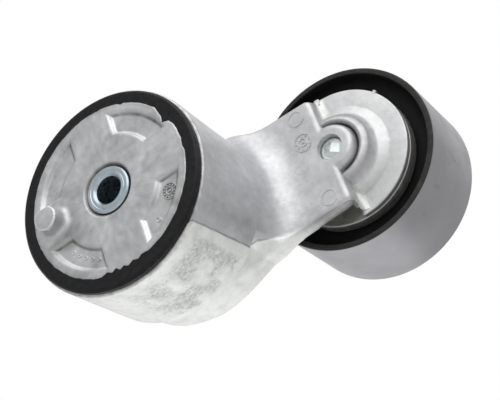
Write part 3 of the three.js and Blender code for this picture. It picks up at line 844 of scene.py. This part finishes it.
def half_turned(name, outline, edge, side):
    """A turned solid on the pulley axis, kept only right (side 1) or left (side -1) of x = edge."""
    piece = turned_solid(name, outline, PULLEY_X, sides=160)
    low, high = sorted((edge, edge - side * 80))
    box = [(low, -50), (high, -50), (high, 50), (low, 50)]
    return combine(piece, prism("half", box, 40, 95), "DIFFERENCE")


def stepped_hub():
    """Trough, rounded ridge, hollow slope and flange round the boss, right of the plate's end."""
    outline = rounded([
        (0, 60, 0), (8.5, 60, 0), (8.5, 63.8, 0), (10.4, 63.8, 0.5), (11.5, 59.6, 1.2), (13.2, 59.0, 1.2),
        (15.2, 60.4, 2.5), (17.3, 64.4, 3.0), (21.5, FLANGE_FACE, 2.0), (FLANGE_R, FLANGE_FACE, 0.6),
        (FLANGE_R, FLANGE_BACK, 0.3), (SPIGOT_R, FLANGE_BACK, 0.3), (SPIGOT_R, SPIGOT_END, 0.4),
        (0, SPIGOT_END, 0)])
    return half_turned("stepped_hub", outline, FLANGE_START_X, 1)


def inner_hub():
    """The hub behind the plate, left of the plate's end."""
    outline = rounded([
        (0, 58.5, 0), (8, 58.5, 0), (8, 60.5, 0), (INNER_HUB_R, 60.5, 0), (INNER_HUB_R, FLANGE_BACK, 0.5),
        (SPIGOT_R, FLANGE_BACK, 0.3), (SPIGOT_R, SPIGOT_END, 0.4), (0, SPIGOT_END, 0)])
    return half_turned("inner_hub", outline, FLANGE_START_X + 0.1, -1)


def end_wall():
    """The wall from the plate's end down to the flange, with a wide fillet at its foot."""
    edge, half, foot = PLATE_EDGE_X, PLATE_HALF_WIDTH, FLANGE_FACE + 0.3
    section = rounded([
        (edge - 2, 58.5, 0), (edge, 58.5, 0), (edge, foot - 3.6, 0), (edge + 0.5, foot - 1.2, 2.2),
        (edge + 3.4, foot - 0.1, 0.5), (edge + 3.4, foot + 0.4, 0), (edge - 2, foot + 0.4, 0)], 8)
    wall = prism("end_wall", section, -half - 3, half + 3, along_z)
    corner = arc(FLANGE_R - 0.4, -75, 75, 24, (PULLEY_X, 0))
    plan = [(edge - 3, 0.8 - half), (edge + 0.02, 0.8 - half), (edge + 0.04, corner[0][1]), *corner,
            (edge + 0.04, corner[-1][1]), (edge + 0.02, half - 0.8), (edge - 3, half - 0.8)]
    return combine(wall, prism("plan", plan, 50, 75), "INTERSECT")


def plate_marks():
    """Ejector circles, a casting dial and the flange's small nibs."""
    marks = [raised_ring("ejector", (61.3, z), 3.25, 0.24, PLATE_FACE, 0.22) for z in (20.2, -20.1)]
    marks += dial((60.2, 8.4), 3.9, PLATE_FACE, 0.3, 9)
    for corners, start, end in (
            (((-0.6, 26.6), (1.2, 26.6), (1.4, 29.0), (-0.6, 29.2)), FLANGE_FACE - 1.2, FLANGE_BACK - 0.5),
            (((22.6, 17.4), (23.6, 16.4), (24.5, 17.4), (23.6, 18.4)), FLANGE_FACE - 0.1, FLANGE_BACK - 0.3)):
        marks.append(prism("nib", [(PULLEY_X + a, b) for a, b in corners], start, end))
    return marks


def arm_housing():
    piece = housing_casting()
    trough = turned_solid("trough", [(0, 50), (17.5, 50), (17.5, 70), (0, 70)], PULLEY_X, sides=96)
    wall = combine(end_wall(), trough, "DIFFERENCE")
    for part in (inner_hub(), stepped_hub(), wall, *plate_marks()):
        combine(piece, part, "UNION")
    radius, face = BOLT_HOLE_R, PLATE_FACE
    hole = [(0, 50), (radius + 0.2, 50), (radius + 0.2, face), (radius, face + 0.25), (radius, 80), (0, 80)]
    combine(piece, turned_solid("hole", hole, PULLEY_X, sides=64), "DIFFERENCE")
    rib = prism("rib", stop_outline(CAVITY_R + 1, STOP_RIB_ANGLE), STOP_RIB_START, STOP_RIB_END)
    combine(piece, rib, "UNION")
    shade(piece, 40)
    points = points_of(piece)
    rough = mark_rough_skin_and_highlights(piece, points)
    sink_rough_skin(piece, points, rough)
    mark_shade_and_grime(piece, points)
    return fit(piece, "arm", "cast_aluminium", ["arm_housing"], CAST_ARM)


def mark_rough_skin_and_highlights(piece, points):
    """Marks the pale rough skin below the parting line and on the flange, and painted highlights on a band
    round the hub's slope and at the end wall's foot.
    """
    x, y, z = points.T
    rough = ease(parting_height(y) - z, -0.2, 0.2) * ease(48 - x, 0, 8)
    boss = np.hypot(x - PULLEY_X, z)
    # Flange: pale rough skin from about r 18 outwards, and a painted highlight band round r 19
    flange = (0.26 * ease(boss, 17, 18.5) + 0.3 * band(boss, 18.9, 1.6, 1)) * ease(y, 61, 63) * \
        (x > FLANGE_START_X)
    # Painted highlight at the end wall's foot, near the plate's corners
    foot = ease(x, PLATE_EDGE_X + 0.1, PLATE_EDGE_X + 0.6) * (x < PLATE_EDGE_X + 3.6) * \
        (np.abs(z) > 17) * (y > 62) * (y < FLANGE_FACE + 0.1)
    store(piece, "rough_skin_and_highlight", np.maximum(rough, np.maximum(flange, foot)))
    return rough


def sink_rough_skin(piece, points, rough):
    """Marks and sinks the flaky patches below the barrel, and the ragged ridge across them."""
    x, y, z = points.T
    turn = np.degrees(np.arctan2(z, x))
    patch = ease(turn, -112, -96) * ease(-51 - turn, 0, 5) * ease(y, 6, 12) * \
        ease(40 - y, 0, 2)
    flaky = rough * patch * ease(lattice_noise(points, 6, 8), -0.5, 0.15)
    store(piece, "cast_pits", flaky)
    ridge = rough * band(y - 1.6 * lattice_noise(points, 5, 9), 35.5, 0.9, 0.8) * \
        ease(turn, -80, -74) * ease(-54 - turn, 0, 4)
    radius = np.hypot(x, z)
    sink = flaky * (0.16 + 0.14 * lattice_noise(points, 2.2, 6) + 0.08 * lattice_noise(points, 1.1, 7)) + \
        0.28 * ridge * (0.6 + 0.4 * lattice_noise(points, 1.4, 2)) * (radius > 39)
    sunk = points - (sink / (radius + 1e-6))[:, None] * np.stack([x, 0 * y, z], -1)
    piece.data.vertices.foreach_set("co", (sunk * MM).ravel())
    piece.data.update()


def mark_shade_and_grime(piece, points):
    """Marks a dark parting line and darkening near the cup's lip, and painted shade on the side wall under
    the plate and in the hub's trough, valley and step.
    """
    x, y, z = points.T
    below = parting_height(y) - z
    boss = np.hypot(x - PULLEY_X, z)
    hub = x > PLATE_EDGE_X + 2
    line = band(below, 0, 0.3, 0.25) * (x > 5) * (y < HOUSING_END - 1)
    # Painted shade on the side wall under the plate
    flank = ease(below, 0, 0.5) * ease(x, 44, 56) * (y > PLATE_FACE + 0.2) * (y < 66)
    # Darker near the cup's lip
    lip = ease(4.2 - y, 0, 1.2) * (0.5 + 0.5 * lattice_noise(points, 1.6, 4)) * (z < 20)
    # Painted shade in the hub's trough and valley, and along the step at the flange's edge
    trough = band(boss, 11.6, 1.4, 1.2) * ease(y, 57.5, 59) * (y < 61)
    valley = band(boss, 15.4, 1.7, 1.6) * hub * (y > 59) * (y < 66)
    step = band(boss, 21.5, 0.9, 0.8) * hub * (z < -6) * (y < 68)
    shade_and_grime = 0.75 * line + 0.5 * lip + 0.7 * trough + 0.55 * flank + 0.42 * valley + 0.25 * step
    store(piece, "hollow", np.clip(shade_and_grime, 0, 1))


def torsion_spring():
    """Round wire, wound as the CAD spring is, with flat caps on its ends."""
    low, high = span("torsion_spring")
    wire_r, coil_r, turns = 3.2, 27.8, 4.4
    sides, rounds = 20, 330
    vertices = []
    for i in range(rounds + 1):
        t = i / rounds
        angle = t * turns * 2 * math.pi
        y = low.y + wire_r + (high.y - low.y - 2 * wire_r) * t
        for j in range(sides):
            a = j * 2 * math.pi / sides
            r = coil_r + wire_r * math.cos(a)
            vertices.append((r * math.cos(angle), y + wire_r * math.sin(a), r * math.sin(angle)))
    faces = tube_faces(rounds + 1, sides)[:rounds * sides]
    faces += [tuple(range(sides)), tuple(reversed(range(rounds * sides, (rounds + 1) * sides)))]
    piece = face_outwards(new_object("torsion_spring_wire", vertices, faces))
    return fit(piece, "arm", "spring_steel", ["torsion_spring"], SPRING_STEEL)


def dust_shield():
    start, end, skirt_r = SHIELD_LOW.y, SHIELD_HIGH.y, SHIELD_R - 0.8
    outline = rounded([
        (SPIGOT_R + 0.3, start, 0.1), (18, start, 0.3), (19.5, start + 0.3, 0.4),
        (SHIELD_R, start + 0.3, 0.6), (SHIELD_R, end, 0.25), (skirt_r, end, 0.25),
        (skirt_r, start + 1.1, 0.4), (19.2, start + 1.1, 0.3), (17.7, start + 0.9, 0.3),
        (SPIGOT_R + 0.3, start + 0.9, 0.1)], 4)
    piece = turned("dust_shield_pressed", outline, PULLEY_X)
    paint(piece, lambda radius, y: 1 if radius > SHIELD_R - 0.5 else 0)
    return fit(piece, "arm", "zinc_steel", ["dust_shield"], DULL_ZINC, SHADE_STEEL)


def pulley_bolt():
    tip, seat, end = BOLT_LOW.y, BOLT_HIGH.y - 6.8, BOLT_HIGH.y
    pitch, threads, depth, radius, hex_r, chip_r = 1.5, 11, 0.55, 5.0, 9.2, 4.7
    outline = [(0, tip + 0.9), (radius - 0.5, tip + 0.9), (radius, tip + 1.3)]
    for i in range(threads):
        start = tip + 1.4 + i * pitch
        outline += [(radius - depth, start), (radius, start + 0.65), (radius, start + 0.85)]
    outline += [(radius - 0.15, tip + 18.5), (radius - 0.15, seat - 0.3), (10.5, seat), (10.5, seat + 0.9),
                (9.4, seat + 1.9), (8.4, seat + 2.2), (8.4, seat + 2.6), (0, seat + 2.6)]
    piece = turned_solid("pulley_bolt_turned", outline, PULLEY_X, sides=72, sharp_deg=30)
    head = prism("head", arc(hex_r, 0, 300, 5, (PULLEY_X, 0)), seat + 1.2, end)
    crown = rounded([
        (0, seat - 5, 0), (12, seat - 5, 0), (12, end - 1.6, 0), (7.9, end, 0.1), (0, end, 0)], 2)
    combine(head, turned_solid("crown", crown, PULLEY_X, sides=96), "INTERSECT")
    combine(piece, head, "UNION")
    rim = [(x, tip + 1.1, z) for x, z in arc(chip_r, 10, 310, 5, (PULLEY_X, 0))]
    peak = (PULLEY_X - 0.9, tip + 0.02, -1.1)
    chips = [(6, i, (i + 1) % 6) for i in range(6)] + [(5, 4, 3, 2, 1, 0)]
    combine(piece, face_outwards(new_object("chips", [*rim, peak], chips, 1)), "UNION")
    shade(piece, 8)
    return fit(piece, "arm", "zinc_steel", ["pulley_bolt"], ZINC_PULLEY)


# ---- pulley and bearing

def pulley_shell():
    """Rim and web as one pressed shell: belt surface outside, black coat inside, worn coat on the lips."""
    near, far, sheet = PULLEY_LOW.y, PULLEY_HIGH.y, 3.0
    mouth, seat, stop = PULLEY_R - 2.7, BEARING_R + 0.3, 22.5
    hub, web, lip = seat + sheet, near + 8.5, BEARING_HIGH.y + 0.3
    outline = rounded([
        (mouth, near, 0.7), (PULLEY_R, near, 1.1), (PULLEY_R, far, 1.1), (mouth, far, 0.7),
        (mouth, web + sheet, 4.0), (hub, web + sheet, 3.0), (hub, lip + 2.2, 1.4), (stop, lip + 2.2, 0.4),
        (stop, lip, 0.2), (seat, lip, 0.3), (seat, web, 0.5), (mouth, web, 6.5)], 8)
    piece = turned("pulley_shell_pressed", outline, PULLEY_X, sides=200)

    def coat(radius, y):
        on_lip = mouth + 0.2 < radius < PULLEY_R - 0.25 and not near + 0.5 <= y <= far - 0.5
        return 2 if on_lip else int(radius < PULLEY_R - 0.6)

    paint(piece, coat)
    return fit(piece, "pulley", "pulley_steel", ["pulley_rim", "pulley_web"], RUNNING, BLACK_COAT, RIM_COAT)


def raceways(land):
    """The two ball grooves in a land, as (radius, y) points."""
    reach = land - BALL_PITCH_R
    half = math.sqrt(GROOVE_R ** 2 - reach ** 2)
    points = []
    for side in (-1, 1):
        middle = (BEARING_LOW.y + BEARING_HIGH.y) / 2 + side * BALL_ROW_OFFSET
        points += [(BALL_PITCH_R + math.copysign(math.sqrt(GROOVE_R ** 2 - y * y), reach), middle + y)
                   for y in np.linspace(-half, half, 13)]
    return points


def bearing():
    low, high, bore, land = BEARING_LOW.y, BEARING_HIGH.y, BEARING_BORE_R, INNER_LAND_R
    inner = [(bore, low + 0.4), (bore + 0.4, low), (land - 0.4, low), (land, low + 0.4), *raceways(land),
             (land, high - 0.4), (land - 0.4, high), (bore + 0.4, high), (bore, high - 0.4)]
    fit(turned("inner_ring_ground", inner, PULLEY_X), "arm", "bearing_steel", ["inner_ring"], BEARING_STEEL)
    rim, land = BEARING_R, OUTER_LAND_R
    outer = [(land, low), (rim - 0.5, low), (rim, low + 0.5), (rim, high - 0.5), (rim - 0.5, high),
             (land, high), *reversed(raceways(land))]
    ring = turned("outer_ring_ground", outer, PULLEY_X)
    fit(ring, "pulley", "bearing_steel", ["outer_ring"], BEARING_STEEL)
    for row, side in (("near", -1), ("far", 1)):
        seal(f"seal_{row}", side)
        recolour(f"cage_{row}", PALE_POLYMER)
        for index in range(BALLS_IN_ROW):
            ball(f"ball_{row}_{index + 1}")


def seal(node, side):
    """A rubber seal with raised edges on its outer side."""
    low, high = span(node)
    middle = (low.y + high.y) / 2
    out, back = middle + side * 0.4, middle - side * 0.4
    outline = rounded([(12.9, back, 0.1), (12.9, out, 0.2), (14, out, 0.2), (14.4, middle, 0.2),
                       (17.2, middle, 0.2), (17.6, out, 0.2), (18.9, out, 0.2), (18.9, back, 0.1)], 3)
    fit(turned(f"{node}_moulded", outline, PULLEY_X), "pulley", "seal_rubber", [node], SEAL_RUBBER)


def ball(node):
    low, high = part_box(node)
    bm = bmesh.new()
    bmesh.ops.create_uvsphere(bm, u_segments=28, v_segments=18, radius=(high.y - low.y) / 2,
                              matrix=Matrix.Translation((low + high) / 2))
    mesh = bpy.data.meshes.new(node + "_ground")
    bm.to_mesh(mesh)
    bm.free()
    piece = shade(add_object(node + "_ground", mesh), 60)
    fit(piece, "ball_set", "bearing_steel", [node], BEARING_STEEL)


# ---- camera and studio

CAMERA_PLACE = Vector((0.18654, -0.34598, -0.27757))
CAMERA_RIGHT = Vector((0.79859, 0.51929, -0.30427))
CAMERA_BACK = Vector((0.30482, -0.78488, -0.53949))
CAMERA_UP = CAMERA_BACK.cross(CAMERA_RIGHT)
CAMERA_LENS = 91.5
LIT_POINT = Vector((0.035, 0.05, 0.0))
FLOOR_HALF, FLOOR_HEIGHT = 6000, -750


def camera():
    data = bpy.data.cameras.new("camera")
    data.lens, data.sensor_width = CAMERA_LENS, 36.0
    piece = add_object("camera", data)
    piece.matrix_world = Matrix.Translation(CAMERA_PLACE) @ Matrix(
        (CAMERA_RIGHT, CAMERA_UP, CAMERA_BACK)).transposed().to_4x4()
    bpy.context.scene.camera = piece


def softbox(name, direction, distance, size, power):
    """A soft panel that faces the object; direction is along the picture's right, up and back, in metres."""
    data = bpy.data.lights.new(name, "AREA")
    data.shape, data.size, data.energy = "DISK", size, power
    piece = add_object(name, data)
    right, up, back = Vector(direction).normalized() * distance
    piece.location = LIT_POINT + CAMERA_RIGHT * right + CAMERA_UP * up + CAMERA_BACK * back
    piece.rotation_mode = "QUATERNION"
    piece.rotation_quaternion = (LIT_POINT - piece.location).to_track_quat("-Z", "Y")
    piece.visible_camera = False


def backdrop():
    """A white world that lights the object less from the sides than from behind it."""
    world = bpy.data.worlds.new("studio")
    world.use_nodes = True
    n = Nodes(world, "Background", "Generated")
    behind = n.add("ShaderNodeVectorMath", operation="DOT_PRODUCT")
    n.put(n.place, behind.inputs[0])
    behind.inputs[1].default_value = -CAMERA_BACK
    fall = n.add("ShaderNodeMapRange", interpolation_type="SMOOTHSTEP")
    n.put(behind.outputs["Value"], fall.inputs["Value"])
    for socket, value in (("From Min", 0.35), ("From Max", 0.85), ("To Min", 0.66), ("To Max", 1.0)):
        fall.inputs[socket].default_value = value
    seen = n.add("ShaderNodeLightPath").outputs["Is Camera Ray"]
    n.shader.inputs["Color"].default_value = (1, 1, 1, 1)
    n.shade("Strength", n.sum("MAXIMUM", fall.outputs["Result"], seen))
    bpy.context.scene.world = world
    bpy.context.scene.view_settings.view_transform = "Standard"


def studio():
    backdrop()
    softbox("key", (-0.05, 0.9, 0.25), 0.8, 1.3, 5.4)
    softbox("table_bounce", (0.1, -0.9, -0.2), 0.7, 0.9, 1.3)
    floor_paint = material("floor_paint", (0.86, 0.86, 0.85), 0.0, 0.8)
    n = Nodes(floor_paint)
    n.shade("Base Color", n.ramp(n.noise(60, detail=2), (0.3, 0.84), (0.7, 0.87)))
    half = FLOOR_HALF
    corners = [(x, y, FLOOR_HEIGHT) for x, y in ((-half, -half), (half, -half), (half, half), (-half, half))]
    floor = new_object("floor", corners, [(0, 1, 2, 3)])
    floor.data.materials.append(floor_paint)


camera()
studio()
base_plate()
friction_ring()
pivot_sleeve()
plain_ring("thrust_washer_cut", "thrust_washer", "base", "pale_polymer", PALE_POLYMER, 14.4)
plain_ring("retaining_plate_pressed", "retaining_plate", "base", "zinc_steel", ZINC_PIVOT, 10.0, 0.5)
arm_housing()
torsion_spring()
plain_ring("spring_seat_moulded", "spring_seat", "arm", "black_polymer", BLACK_RING, 21.0, 0.4)
plain_ring("bearing_bush_turned", "bearing_bush", "arm", "zinc_steel", ZINC_PULLEY, 5.3, 0.3, PULLEY_X)
plain_ring("far_dust_washer_pressed", "far_dust_washer", "arm", "zinc_steel", ZINC_PULLEY, 5.4, 0.3, PULLEY_X)
recolour("pivot_bushing", PALE_POLYMER)
dust_shield()
pulley_bolt()
pulley_shell()
bearing()
